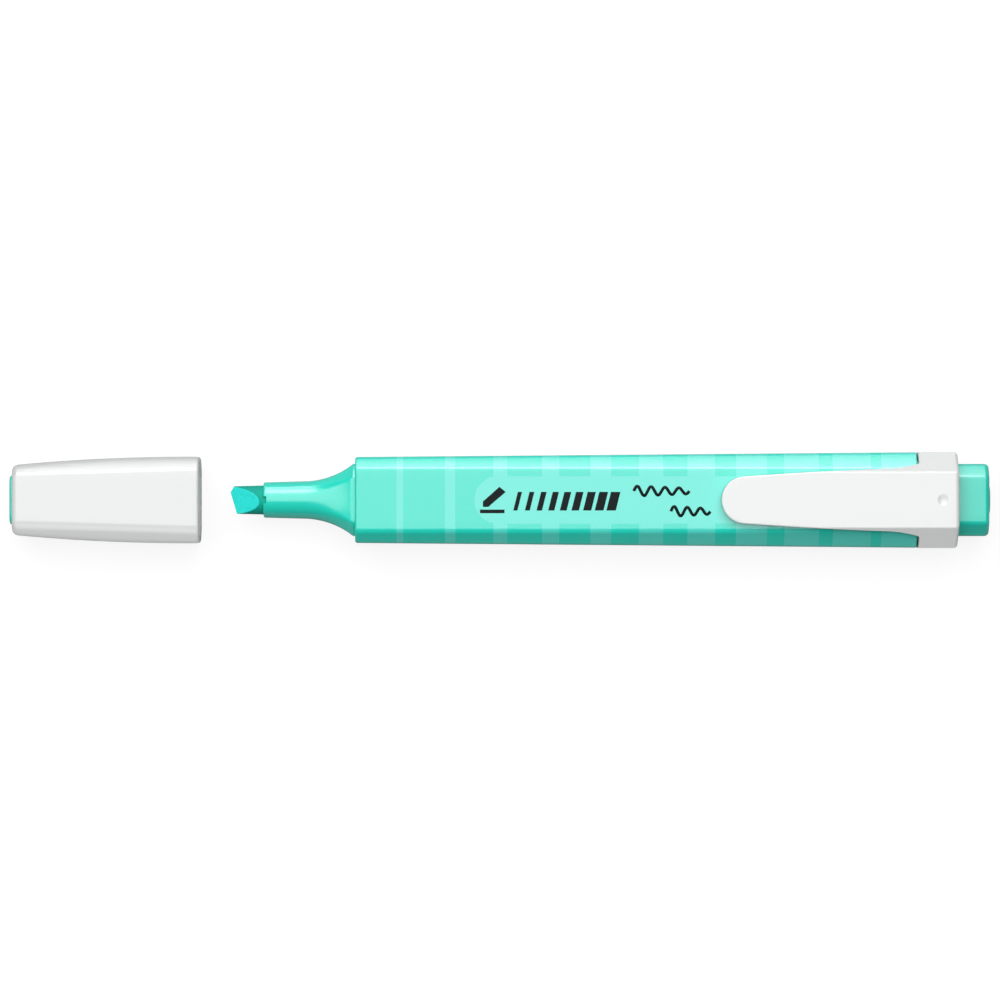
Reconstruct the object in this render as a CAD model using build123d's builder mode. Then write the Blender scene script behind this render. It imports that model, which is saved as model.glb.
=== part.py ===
"""A flat pocket highlighter with its cap pulled off and lying in line in front of the nib.

Millimetres. +X runs from the cap to the end plug, +Z is up, and the clip faces up. The pen lies on its
broad back face, and the origin is the centre of its footprint on the table. Places along the pen are
distances from the barrel's front face, the shoulder that the cap closes against.
"""

from math import atan2, cos, radians, sin, sqrt, tan
import os

from build123d import *

# ---- Barrel ----
body_height = 11.6  # back face to clip-side face
face_width = 10.6  # each broad face, from bevel to bevel
barrel_front_width = 14.4
barrel_rear_width = 16.0
barrel_length = 94.0
barrel_edge_radius = 1.4
barrel_rim_chamfer = 0.25
barrel_wall = 1.7  # of the two broad faces
bore_width = 11.6
bore_bevel = 1.7
bore_edge_radius = 0.9
tail_wall = 0.85  # of the thinned rear end that the collar slides over
snap_rib_radius = 0.3
fin_thickness = 0.8

# ---- Post: the outside shape that the cap's mouth fits, at the neck and again at the end plug ----
post_lip = 0.25  # stands out all round from the barrel's bore
post_bevel = 2.1
post_edge_radius = 1.1

# ---- Neck ----
neck_land = 0.4  # straight rim between the flare and the barrel
flare_length = 8.5
tube_length = 6.55
tube_wall = 0.5  # at its mouth
tube_draft = 0.17  # growth of the tube's radius towards the flare
tube_lip_radius = 0.3
flare_sections = 6
flare_roundness = 0.97  # share of the tube's radius that its eight corners take where the flare starts
neck_plug_length = 7.5  # part of the neck inside the barrel
neck_plug_wall = 1.1
neck_core_depth = 6.4  # hollow under the flare, narrowing towards the tube
neck_core_relief = 0.25  # its narrow end round the nib
neck_fin_lead = 1.4  # fins that steady the nib, ahead of the plug
neck_fin_setback = 1.0  # and their distance from its rear end
vent_slot_width = 1.2
vent_slot_depth = 0.5
vent_groove_radius = 0.25
vent_groove_count = 4

# ---- Nib ----
nib_radius = 2.45
nib_tip_taper = 0.15
nib_reach = 5.55  # tip to the mouth of the tube
nib_point_offset = 1.28  # foremost point of the writing edge, to one side of the axis
nib_edge_thickness = 0.8
nib_facet_angle = 24.0
nib_edge_slant = 16.7  # of the writing edge, seen from above
nib_corner_angle = 31.0  # of the small bevel at its foremost corner
nib_in_reservoir = 9.0

# ---- Ink reservoir ----
film_thickness = 0.15
film_end_setback = 1.0
reservoir_gap = 0.5  # from the neck's inner end
reservoir_end_gap = 1.45  # from the end plug

# ---- Collar and clip ----
collar_length = 6.6
collar_wall = 1.0
collar_step = 0.05  # stands out from the barrel on each side
collar_joint_gap = 0.3  # shadow line between barrel and collar
collar_face_width = 9.3
collar_edge_radius = 0.3  # of the long edges
collar_end_radius = 0.7
collar_end_wall = 1.15
collar_core_width = 6.0
collar_core_height = 2.0
collar_core_length = 4.0
dimple_radius = 1.0
dimple_depth = 0.3
dimple_from_rear = 2.75
clip_gap = 0.6  # barrel face to the underside of the clip
clip_side_gap = 0.25  # barrel bevel to the underside of the clip
clip_thickness = 1.8
clip_length = 33.1  # collar's front face to the tip
clip_tip_radius = 3.93
clip_waist_half_width = 5.2
clip_root_half_width = 6.1
clip_waist_from_root = 6.1
clip_side_bulge = 0.12
clip_flare_bulge = 0.22
clip_corner_radius = 0.4  # inside corner between the clip and the collar
clip_edge_radius = 0.25
clip_bead_radius = 1.2
clip_bead_length = 4.0
clip_bead_gap = 0.15  # bead to the barrel face
clip_bead_from_tip = 4.5
clip_pocket_depth = 0.7
clip_pocket_corner_radius = 1.0
clip_pocket_margin = 1.3
clip_root_gap = 0.12  # slit that stands for the bend of the root

# ---- End plug ----
end_post_length = 5.3
end_post_end_radius = 0.75
end_wall = 1.3
end_plug_length = 8.3  # part of the plug inside the barrel
end_plug_wall = 1.1
end_rib_thickness = 1.0
end_boss_width = 4.5
end_boss_height = 3.2
end_boss_rise = 0.3
end_boss_chamfer = 0.12

# ---- Cap ----
cap_length = 31.4
cap_mouth_width = 14.5
cap_mouth_face = 10.2
cap_end_width = 11.7
cap_height_taper = 1.9
cap_end_face = 8.4
cap_side_bow = 0.4
cap_edge_radius = 2.2
cap_end_radius = 0.9
cap_mouth_radius = 0.5
cap_sections = 5
cap_socket_depth = 6.6
cap_bore_end_width = 9.4
cap_bore_end_bevel = 1.4
cap_end_wall = 1.2
cap_rest_gap = 5.1  # nib tip to the cap's mouth, with the cap off
cap_stop_gap = 0.1  # left at the shoulder with the cap fully on

# ---- Inner cap ----
seal_length = 6.0  # of the nib tube inside the liner
nib_air = 1.9  # nib tip to the liner's floor
liner_wall = 0.5
liner_end_wall = 1.0
liner_lip_chamfer = 0.15
stem_radius = 2.2
liner_plate_thickness = 1.0
liner_plate_gap = 0.1
liner_boss_width = 8.2
liner_boss_height = 5.4
liner_boss_radius = 1.6
liner_boss_rise = 0.5
liner_boss_edge_radius = 0.35
cap_vent_width = 2.0
cap_vent_height = 0.6

# ---- Fits ----
slip_clearance = 0.05  # pieces that slide together once, at assembly
cap_clearance = 0.1  # cap over post
seal_clearance = 0.08  # inner cap over the nib tube
nib_clearance = 0.02
reservoir_clearance = 0.1
tiny = 0.01  # for telling edges apart by their place

# ---- Sizes that follow from the sizes above ----
bevel_growth = 2 - sqrt(2)  # of a bevel, when its section grows by one all round
bore_height = body_height - 2 * barrel_wall
reservoir_diameter = bore_height - 2 * reservoir_clearance
post_width = bore_width + 2 * post_lip
post_height = bore_height + 2 * post_lip
collar_width = barrel_rear_width + 2 * collar_step
tube_mouth_radius = nib_radius + nib_clearance + tube_wall
tube_root_radius = tube_mouth_radius + tube_draft
nib_tip_radius = nib_radius - nib_tip_taper
liner_floor_radius = tube_mouth_radius + seal_clearance
liner_mouth_radius = liner_floor_radius + tube_draft * seal_length / tube_length
liner_outer_radius = liner_mouth_radius + liner_wall
cap_bore_end_height = 2 * (liner_outer_radius + liner_plate_gap)

# ---- Places that follow from the sizes above ----
axis_height = body_height / 2
tube_root = -(neck_land + flare_length)
tube_mouth = tube_root - tube_length
nib_tip = tube_mouth - nib_reach
cap_mouth = nib_tip - cap_rest_gap
collar_front = barrel_length + collar_joint_gap
collar_rear = collar_front + collar_length
tail_end = collar_rear - collar_end_wall
clip_bend = collar_front - clip_corner_radius
reservoir_start = neck_plug_length + reservoir_gap
reservoir_length = tail_end - end_plug_length - reservoir_end_gap - reservoir_start
plug_end = collar_rear + end_post_length
clip_top = body_height + clip_gap + clip_thickness
cap_travel = -cap_mouth - cap_stop_gap
liner_depth = -(tube_mouth + seal_length) - cap_stop_gap  # cap's mouth to the liner's mouth
liner_floor = -nib_tip - cap_stop_gap + nib_air  # cap's mouth to the liner's floor
model_front = cap_mouth - cap_length - liner_boss_rise
model_rear = plug_end + end_boss_rise
shoulder_x = -(model_front + model_rear) / 2


def station(place, height=axis_height):
    """Plane across the pen, facing +X, at this distance behind the shoulder."""
    return Plane(origin=(shoulder_x + place, 0, height), x_dir=(0, 1, 0), z_dir=(1, 0, 0))


def cap_station(depth):
    """Plane across the cap, facing its closed end, at this depth behind the cap's mouth."""
    return Plane(origin=(shoulder_x + cap_mouth - depth, 0, axis_height), x_dir=(0, 1, 0), z_dir=(-1, 0, 0))


def sharp_section(width, height, bevel):
    """Flat eight-sided section: two broad faces, two sides, and four bevels at 45 degrees."""
    corners = [
        (width / 2 - bevel, height / 2),
        (width / 2, height / 2 - bevel),
        (width / 2, bevel - height / 2),
        (width / 2 - bevel, -height / 2),
    ]
    mirrored = [(-y, z) for y, z in reversed(corners)]
    with BuildSketch(Plane.XY, mode=Mode.PRIVATE) as section:
        Polygon(*corners, *mirrored, align=None)
    return section.sketch


def bevelled_section(width, height, bevel, radius):
    """The same eight-sided section with rounded corners."""
    with BuildSketch(Plane.XY, mode=Mode.PRIVATE) as section:
        add(sharp_section(width, height, bevel))
        fillet(section.vertices(), radius)
    return section.sketch


def post_section(margin=0.0):
    """Outside shape of the neck's rim and of the end post, or that shape grown by a margin."""
    bevel = post_bevel + bevel_growth * margin
    return bevelled_section(post_width + 2 * margin, post_height + 2 * margin, bevel, post_edge_radius)


def bore_section(margin=0.0):
    """Inside shape of the barrel, or that shape with a margin taken off its wall side."""
    bevel = bore_bevel + bevel_growth * margin
    return bevelled_section(bore_width + 2 * margin, bore_height + 2 * margin, bevel, bore_edge_radius)


def make_barrel():
    """Moulded tube with a thinned tail for the collar and two fins that centre the reservoir."""
    fin_height = (bore_width - reservoir_diameter) / 2 - slip_clearance
    with BuildPart() as barrel:
        with BuildSketch(station(0)):
            add(sharp_section(barrel_rear_width, body_height, (barrel_rear_width - face_width) / 2))
        extrude(amount=barrel_length)
        with BuildSketch(Plane.XY):
            Polygon(
                (shoulder_x, barrel_front_width / 2),
                (shoulder_x + barrel_length, barrel_rear_width / 2),
                (shoulder_x + barrel_length, -barrel_rear_width / 2),
                (shoulder_x, -barrel_front_width / 2),
                align=None,
            )
        extrude(amount=body_height, mode=Mode.INTERSECT)
        long_edges = barrel.edges().filter_by(lambda edge: edge.length > barrel_length - tiny)
        fillet(long_edges, barrel_edge_radius)
        chamfer(barrel.faces().sort_by(Axis.X)[0].outer_wire().edges(), barrel_rim_chamfer)
        with BuildSketch(station(barrel_length)):
            add(bore_section(tail_wall))
        extrude(amount=tail_end - barrel_length)
        with Locations(*snap_places()):
            Cylinder(snap_rib_radius, snap_rib_length())
        with BuildSketch(station(0)):
            add(bore_section())
        extrude(amount=tail_end, mode=Mode.SUBTRACT)
        with BuildSketch(station(reservoir_start)):
            with Locations(*[(side * (bore_width - fin_height) / 2, 0) for side in (-1, 1)]):
                Rectangle(fin_height, fin_thickness)
        extrude(amount=reservoir_length)
    barrel.part.label = "barrel"
    return barrel.part


def snap_rib_length():
    """Height of the snap ribs, kept on the tail's flat sides."""
    return bore_height - 2 * bore_bevel


def snap_places():
    """Centres of the two snap ribs, on the sides of the tail."""
    half = bore_width / 2 + tail_wall
    place = shoulder_x + (barrel_length + tail_end) / 2
    return [(place, side * half, axis_height) for side in (-1, 1)]


def flare_section(share):
    """Section of the flare at this share of its length, from the round tube to the flat rim."""
    rise = post_width / 2 - tube_root_radius
    arc_radius = (rise**2 + flare_length**2) / (2 * rise)
    grown = (arc_radius - sqrt(arc_radius**2 - (share * flare_length) ** 2)) / rise
    round_bevel = tube_root_radius * (1 - tan(radians(22.5)))
    round_radius = tube_root_radius * flare_roundness

    def between(start, end):
        return start + (end - start) * grown

    return bevelled_section(
        between(2 * tube_root_radius, post_width),
        between(2 * tube_root_radius, post_height),
        between(round_bevel, post_bevel),
        between(round_radius, post_edge_radius),
    )


def make_neck():
    """Nib holder: a thin tube that flares out to a rim, with a hollow plug that presses into the barrel."""
    core_margin = -slip_clearance - neck_plug_wall
    core_width = bore_width + 2 * core_margin
    core_height = bore_height + 2 * core_margin
    nib_hole = nib_radius + nib_clearance
    with BuildPart() as neck:
        with BuildSketch(station(tube_mouth)):
            Circle(tube_mouth_radius)
        with BuildSketch(station(tube_root)):
            Circle(tube_root_radius)
        loft(ruled=True)
        fillet(neck.edges().group_by(Axis.X)[0], tube_lip_radius)
        for step in range(flare_sections):
            share = step / (flare_sections - 1)
            with BuildSketch(station(tube_root + flare_length * share)):
                add(flare_section(share))
        loft()
        with BuildSketch(station(-neck_land)):
            add(post_section())
        extrude(amount=neck_land)
        with BuildSketch(station(0)):
            add(bore_section(-slip_clearance))
        extrude(amount=neck_plug_length)
        with BuildSketch(station(-neck_core_depth)):
            Circle(nib_hole + neck_core_relief)
        with BuildSketch(station(0)):
            add(bore_section(core_margin))
        loft(mode=Mode.SUBTRACT)
        with BuildSketch(station(0)):
            add(bore_section(core_margin))
        extrude(amount=neck_plug_length, mode=Mode.SUBTRACT)
        with BuildSketch(station(-neck_fin_lead)):
            Rectangle(core_width, fin_thickness)
            Rectangle(fin_thickness, core_height)
        extrude(amount=neck_fin_lead + neck_plug_length - neck_fin_setback)
        with BuildSketch(station(tube_mouth)):
            Circle(nib_hole)
            with PolarLocations(nib_hole, vent_groove_count, start_angle=45):
                Circle(vent_groove_radius)
        extrude(amount=neck_plug_length - tube_mouth, mode=Mode.SUBTRACT)
        with BuildSketch(station(tube_mouth)):
            Rectangle(vent_slot_width, 2 * tube_root_radius)
        extrude(amount=vent_slot_depth, mode=Mode.SUBTRACT)
    neck.part.label = "neck"
    return neck.part


def make_nib():
    """Round fibre rod cut to a slanted chisel, reaching back through the neck into the reservoir."""
    rod_end = reservoir_start + nib_in_reservoir
    rod_length = rod_end - nib_tip
    slant = radians(nib_edge_slant)
    point = shoulder_x + nib_tip
    reach = 2 * nib_radius
    half_edge = nib_edge_thickness / 2
    half_wedge = half_edge + rod_length * tan(radians(nib_facet_angle))
    across_edge = Plane(
        origin=(point, nib_point_offset, axis_height),
        x_dir=(cos(slant), sin(slant), 0),
        z_dir=(sin(slant), -cos(slant), 0),
    )
    with BuildPart() as nib:
        with BuildSketch(station(nib_tip)):
            Circle(nib_tip_radius)
        with BuildSketch(station(tube_mouth)):
            Circle(nib_radius)
        loft(ruled=True)
        with BuildSketch(station(tube_mouth)):
            Circle(nib_radius)
        extrude(amount=rod_end - tube_mouth)
        with BuildSketch(Plane.XY.offset(axis_height - nib_radius)):
            Polygon(
                (point + (reach + nib_point_offset) * tan(slant), -reach),
                (point, nib_point_offset),
                (point + (reach - nib_point_offset) * tan(radians(nib_corner_angle)), reach),
                (point + rod_length, reach),
                (point + rod_length, -reach),
                align=None,
            )
        extrude(amount=2 * nib_radius, mode=Mode.INTERSECT)
        with BuildSketch(across_edge):
            Polygon(
                (0, half_edge),
                (rod_length, half_wedge),
                (2 * rod_length, half_wedge),
                (2 * rod_length, -half_wedge),
                (rod_length, -half_wedge),
                (0, -half_edge),
                align=None,
            )
        extrude(amount=rod_length, both=True, mode=Mode.INTERSECT)
    nib.part.label = "nib"
    return nib.part


def make_reservoir():
    """Bundle of polyester fibre that holds the ink, with the blind hole that the nib pushes into it."""
    with BuildPart() as reservoir:
        with BuildSketch(station(reservoir_start)):
            Circle(reservoir_diameter / 2 - film_thickness)
        extrude(amount=reservoir_length)
        with BuildSketch(station(reservoir_start)):
            Circle(nib_radius)
        extrude(amount=nib_in_reservoir, mode=Mode.SUBTRACT)
    reservoir.part.label = "ink_reservoir"
    return reservoir.part


def make_film():
    """Plastic film wrapped round the fibre bundle, a little short of its ends."""
    with BuildPart() as film:
        with BuildSketch(station(reservoir_start + film_end_setback)):
            Circle(reservoir_diameter / 2)
            Circle(reservoir_diameter / 2 - film_thickness, mode=Mode.SUBTRACT)
        extrude(amount=reservoir_length - 2 * film_end_setback)
    film.part.label = "reservoir_film"
    return film.part


def hood_section():
    """Outside shape of the collar: the barrel's below, rising to the narrower face that carries the clip."""
    half = collar_width / 2
    bevel = (collar_width - face_width) / 2
    corners = [
        (collar_face_width / 2, clip_top),
        (half, body_height - bevel),
        (half, bevel),
        (face_width / 2, 0),
    ]
    mirrored = [(-y, z) for y, z in reversed(corners)]
    with BuildSketch(Plane.XY, mode=Mode.PRIVATE) as section:
        Polygon(*corners, *mirrored, align=None)
        fillet(section.vertices(), collar_edge_radius)
    return section.sketch


def clip_outline():
    """Outline of the clip seen from above, from inside the collar to its round tip."""
    front = shoulder_x + collar_front
    waist = front - clip_waist_from_root
    tip_centre = front - clip_length + clip_tip_radius
    lean = atan2(clip_waist_half_width - clip_tip_radius, waist - tip_centre)
    tangent = (tip_centre - clip_tip_radius * sin(lean), clip_tip_radius * cos(lean))
    side_middle = (
        (waist + tangent[0]) / 2,
        (clip_waist_half_width + tangent[1]) / 2 + clip_side_bulge,
    )
    flare_middle = (
        (front + waist) / 2,
        (clip_root_half_width + clip_waist_half_width) / 2 - clip_flare_bulge,
    )
    with BuildSketch(Plane.XY, mode=Mode.PRIVATE) as outline:
        with BuildLine():
            Line((front + collar_wall, 0), (front + collar_wall, clip_root_half_width))
            Line((front + collar_wall, clip_root_half_width), (front, clip_root_half_width))
            ThreePointArc((front, clip_root_half_width), flare_middle, (waist, clip_waist_half_width))
            ThreePointArc((waist, clip_waist_half_width), side_middle, tangent)
            RadiusArc(tangent, (tip_centre - clip_tip_radius, 0), -clip_tip_radius)
            mirror(about=Plane.XZ)
        make_face()
    return outline.sketch


def clip_underside():
    """Space under the clip: the barrel's outline, with one gap above it and a smaller one beside it."""
    under = body_height + clip_gap
    reach = face_width / 2 + body_height + clip_side_gap * sqrt(2)
    with BuildSketch(Plane.XY, mode=Mode.PRIVATE) as section:
        Polygon((reach - under, under), (reach, 0), (-reach, 0), (under - reach, under), align=None)
    return section.sketch


def make_moulding():
    """Collar and clip as they leave the mould, in one piece, with the gate dimple on the collar's face."""
    front = shoulder_x + collar_front
    tip = collar_front - clip_length
    arm_length = clip_length + collar_wall
    bead_place = shoulder_x + tip + clip_bead_from_tip
    pocket_start = bead_place + clip_bead_radius + clip_pocket_margin
    pocket_end = front - clip_waist_from_root
    sphere_radius = (dimple_radius**2 + dimple_depth**2) / (2 * dimple_depth)
    dimple_place = front + collar_length - dimple_from_rear
    with BuildPart() as moulding:
        with BuildSketch(Plane.XY):
            add(clip_outline())
        extrude(amount=clip_top)
        with BuildSketch(station(tip, 0)):
            add(hood_section())
        extrude(amount=arm_length, mode=Mode.INTERSECT)
        with BuildSketch(station(tip, 0)):
            add(clip_underside())
        extrude(amount=arm_length, mode=Mode.SUBTRACT)
        with BuildSketch(station(collar_front, 0)):
            add(hood_section())
        extrude(amount=collar_length)
        fillet(moulding.faces().sort_by(Axis.X)[-1].outer_wire().edges(), collar_end_radius)
        edges_at_front = moulding.edges().filter_by_position(Axis.X, front - tiny, front + tiny)
        corner_side = clip_root_half_width + tiny
        corners = edges_at_front.filter_by_position(Axis.Y, -corner_side, corner_side)
        fillet(
            corners.filter_by(lambda edge: abs(edge.center().Y) > clip_root_half_width - tiny),
            clip_corner_radius,
        )
        arm_sides = moulding.faces().filter_by(
            lambda face: abs(face.normal_at(face.center()).Z) < tiny
            and face.center().Z > axis_height + bore_height / 2
            and face.center().X < front
        )
        rim = [edge for face in arm_sides for edge in top_edges(face)]
        ring = moulding.edges().filter_by_position(Axis.X, front - tiny, front + tiny).filter_by(
            lambda edge: abs(edge.center().Y) > clip_root_half_width or edge.center().Z < axis_height
        )
        fillet(rim + ring, clip_edge_radius)
        with BuildSketch(Plane.XY.offset(body_height + clip_gap)):
            with Locations(((pocket_start + pocket_end) / 2, 0)):
                RectangleRounded(
                    pocket_end - pocket_start,
                    2 * (clip_tip_radius - clip_pocket_margin),
                    clip_pocket_corner_radius,
                )
        extrude(amount=clip_pocket_depth, mode=Mode.SUBTRACT)
        with BuildSketch(Plane.XZ.offset(-clip_bead_length / 2)):
            with Locations((bead_place, body_height + clip_bead_gap + clip_bead_radius)):
                Circle(clip_bead_radius)
        extrude(amount=clip_bead_length)
        with BuildSketch(Plane.XY.offset(clip_top)):
            with Locations((bead_place, 0)):
                Rectangle(clip_length, collar_width)
        extrude(amount=clip_bead_radius, mode=Mode.SUBTRACT)
        with Locations((dimple_place, 0, clip_top - dimple_depth + sphere_radius)):
            Sphere(sphere_radius, mode=Mode.SUBTRACT)
    return moulding.part


def top_edges(face):
    """Edges along the top of one upright side of the clip."""
    middle = face.center().Z + tiny
    return [edge for edge in face.edges() if edge.center().Z > middle and abs(edge.tangent_at(0.5).Z) < 0.9]


def make_collar(moulding):
    """Ring of the moulding, cored to slide over the barrel's tail and round the end plug's post."""
    core_bottom = axis_height + bore_height / 2
    with BuildPart() as collar:
        add(moulding)
        split(bisect_by=station(clip_bend), keep=Keep.TOP)
        with BuildSketch(station(collar_front)):
            add(bore_section(tail_wall + slip_clearance))
        extrude(amount=tail_end + slip_clearance - collar_front, mode=Mode.SUBTRACT)
        with BuildSketch(station(collar_front)):
            add(post_section(slip_clearance))
        extrude(amount=collar_length, mode=Mode.SUBTRACT)
        with BuildSketch(station(collar_front, core_bottom)):
            Rectangle(collar_core_width, collar_core_height + tail_wall, align=(Align.CENTER, Align.MIN))
        extrude(amount=collar_core_length, mode=Mode.SUBTRACT)
        with Locations(*snap_places()):
            Cylinder(
                snap_rib_radius + slip_clearance, snap_rib_length() + slip_clearance, mode=Mode.SUBTRACT
            )
    collar.part.label = "rear_collar"
    return collar.part


def make_clip(moulding):
    """Springy arm of the moulding, ahead of the slit that stands for the bend of its root."""
    with BuildPart() as clip:
        add(moulding)
        split(bisect_by=station(clip_bend - clip_root_gap), keep=Keep.BOTTOM)
    clip.part.label = "clip_arm"
    return clip.part


def make_end_plug():
    """Hollow plug pressed into the barrel's rear; its outer post takes the cap while writing."""
    core_margin = -slip_clearance - end_plug_wall
    plug_start = tail_end - end_plug_length
    hollow_length = plug_end - end_wall - plug_start
    with BuildPart() as plug:
        with BuildSketch(station(tail_end)):
            add(post_section())
        extrude(amount=plug_end - tail_end)
        fillet(plug.faces().sort_by(Axis.X)[-1].outer_wire().edges(), end_post_end_radius)
        with BuildSketch(station(plug_start)):
            add(bore_section(-slip_clearance))
        extrude(amount=end_plug_length)
        with BuildSketch(station(plug_start)):
            add(bore_section(core_margin))
        extrude(amount=hollow_length, mode=Mode.SUBTRACT)
        with BuildSketch(station(plug_start)):
            Rectangle(bore_width + 2 * core_margin, end_rib_thickness)
            Rectangle(end_rib_thickness, bore_height + 2 * core_margin)
        extrude(amount=hollow_length)
        with BuildSketch(station(plug_end)):
            Ellipse(end_boss_width / 2, end_boss_height / 2)
        extrude(amount=end_boss_rise)
        chamfer(plug.faces().sort_by(Axis.X)[-1].outer_wire().edges(), end_boss_chamfer)
    plug.part.label = "end_plug"
    return plug.part


def cap_section(share):
    """Outside shape of the cap at this share of its length from the mouth, with gently bowed sides."""
    width = cap_mouth_width + (cap_end_width - cap_mouth_width) * share
    face = cap_mouth_face + (cap_end_face - cap_mouth_face) * share
    bow = 4 * cap_side_bow * share * (1 - share)
    height = body_height - cap_height_taper * share
    return bevelled_section(width + 2 * bow, height, (width - face) / 2 + bow, cap_edge_radius)


def cap_end_bore(margin=0.0):
    """Inside shape of the cap where its closed end starts, or that shape grown by a margin."""
    return bevelled_section(
        cap_bore_end_width + 2 * margin,
        cap_bore_end_height + 2 * margin,
        cap_bore_end_bevel + bevel_growth * margin,
        bore_edge_radius,
    )


def make_cap():
    """Hollow tapered shell with a socket for the post and an opening in its end for the inner cap's boss."""
    bore_depth = cap_length - cap_end_wall
    with BuildPart() as cap:
        for step in range(cap_sections):
            share = step / (cap_sections - 1)
            with BuildSketch(cap_station(cap_length * share)):
                add(cap_section(share))
        loft()
        fillet(cap.faces().sort_by(Axis.X)[0].outer_wire().edges(), cap_end_radius)
        fillet(cap.faces().sort_by(Axis.X)[-1].outer_wire().edges(), cap_mouth_radius)
        with BuildSketch(cap_station(0)):
            add(post_section(cap_clearance))
        extrude(amount=cap_socket_depth, mode=Mode.SUBTRACT)
        with BuildSketch(cap_station(cap_socket_depth)):
            add(post_section(cap_clearance))
        with BuildSketch(cap_station(bore_depth)):
            add(cap_end_bore())
        loft(ruled=True, mode=Mode.SUBTRACT)
        with BuildSketch(cap_station(bore_depth)):
            RectangleRounded(
                liner_boss_width + 2 * slip_clearance,
                liner_boss_height + 2 * slip_clearance,
                liner_boss_radius + slip_clearance,
            )
            Rectangle(cap_vent_width, liner_boss_height + 2 * cap_vent_height)
        extrude(amount=cap_end_wall, mode=Mode.SUBTRACT)
    cap.part.label = "cap"
    return cap.part


def make_inner_cap():
    """Sealing liner for the nib: a cup on a stem, held by a plate and a boss that shows in the cap's end."""
    plate_back = cap_length - cap_end_wall
    plate_front = plate_back - liner_plate_thickness
    taper_end = -tube_mouth - cap_stop_gap
    with BuildPart() as liner:
        with BuildSketch(cap_station(liner_depth)):
            Circle(liner_outer_radius)
        extrude(amount=liner_floor + liner_end_wall - liner_depth)
        with BuildSketch(cap_station(liner_depth)):
            Circle(liner_mouth_radius)
        with BuildSketch(cap_station(taper_end)):
            Circle(liner_floor_radius)
        loft(ruled=True, mode=Mode.SUBTRACT)
        with BuildSketch(cap_station(taper_end)):
            Circle(liner_floor_radius)
        extrude(amount=liner_floor - taper_end, mode=Mode.SUBTRACT)
        rims = liner.edges().filter_by(GeomType.CIRCLE).group_by(Axis.X)[-1]
        chamfer(rims.sort_by(SortBy.RADIUS)[0], liner_lip_chamfer)
        with BuildSketch(cap_station(liner_floor)):
            Circle(stem_radius)
        extrude(amount=plate_front - liner_floor)
        with BuildSketch(cap_station(plate_front)):
            add(cap_end_bore(-liner_plate_gap))
        extrude(amount=liner_plate_thickness)
        with BuildSketch(cap_station(plate_back)):
            RectangleRounded(liner_boss_width, liner_boss_height, liner_boss_radius)
        extrude(amount=cap_end_wall + liner_boss_rise)
        fillet(liner.faces().sort_by(Axis.X)[0].outer_wire().edges(), liner_boss_edge_radius)
    liner.part.label = "inner_cap"
    return liner.part


os.makedirs("parts", exist_ok=True)
one_moulding = make_moulding()
for piece in (
    make_barrel(),
    make_neck(),
    make_nib(),
    make_reservoir(),
    make_film(),
    make_collar(one_moulding),
    make_clip(one_moulding),
    make_end_plug(),
    make_cap(),
    make_inner_cap(),
):
    export_step(piece, f"parts/{piece.label}.step")
    print(piece.label, "solids", len(piece.solids()), "volume", round(piece.volume, 1))

print("shoulder at x", round(shoulder_x, 3), "cap travel", round(cap_travel, 3))
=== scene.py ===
"""A flat pocket highlighter lying on a white table, with its cap pulled off in front of the nib."""

from math import atan2, cos, pi, radians, sin, sqrt, tan

import bmesh
import bpy
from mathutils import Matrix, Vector


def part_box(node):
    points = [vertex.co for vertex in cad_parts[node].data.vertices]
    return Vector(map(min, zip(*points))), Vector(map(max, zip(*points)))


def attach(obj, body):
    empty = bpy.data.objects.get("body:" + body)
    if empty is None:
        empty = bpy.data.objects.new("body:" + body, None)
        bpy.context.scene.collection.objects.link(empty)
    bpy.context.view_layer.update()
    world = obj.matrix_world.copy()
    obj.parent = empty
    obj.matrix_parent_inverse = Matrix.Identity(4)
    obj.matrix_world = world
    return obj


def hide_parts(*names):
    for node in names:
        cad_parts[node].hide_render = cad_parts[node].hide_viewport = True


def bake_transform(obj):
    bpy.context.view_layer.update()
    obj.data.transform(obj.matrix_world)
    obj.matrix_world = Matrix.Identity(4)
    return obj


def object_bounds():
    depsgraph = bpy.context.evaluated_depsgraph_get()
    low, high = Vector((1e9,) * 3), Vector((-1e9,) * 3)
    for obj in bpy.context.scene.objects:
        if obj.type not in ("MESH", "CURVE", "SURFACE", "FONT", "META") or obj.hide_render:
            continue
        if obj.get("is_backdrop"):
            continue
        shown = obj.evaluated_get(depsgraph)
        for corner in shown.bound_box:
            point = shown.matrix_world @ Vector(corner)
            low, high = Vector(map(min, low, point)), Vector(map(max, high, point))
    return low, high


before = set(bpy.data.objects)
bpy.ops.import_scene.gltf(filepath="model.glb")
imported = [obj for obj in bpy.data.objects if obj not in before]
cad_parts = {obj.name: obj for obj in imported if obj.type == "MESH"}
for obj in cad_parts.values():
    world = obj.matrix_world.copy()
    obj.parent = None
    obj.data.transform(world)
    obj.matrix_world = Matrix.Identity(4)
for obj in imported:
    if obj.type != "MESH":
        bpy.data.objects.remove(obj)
cad_low, cad_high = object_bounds()

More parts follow.
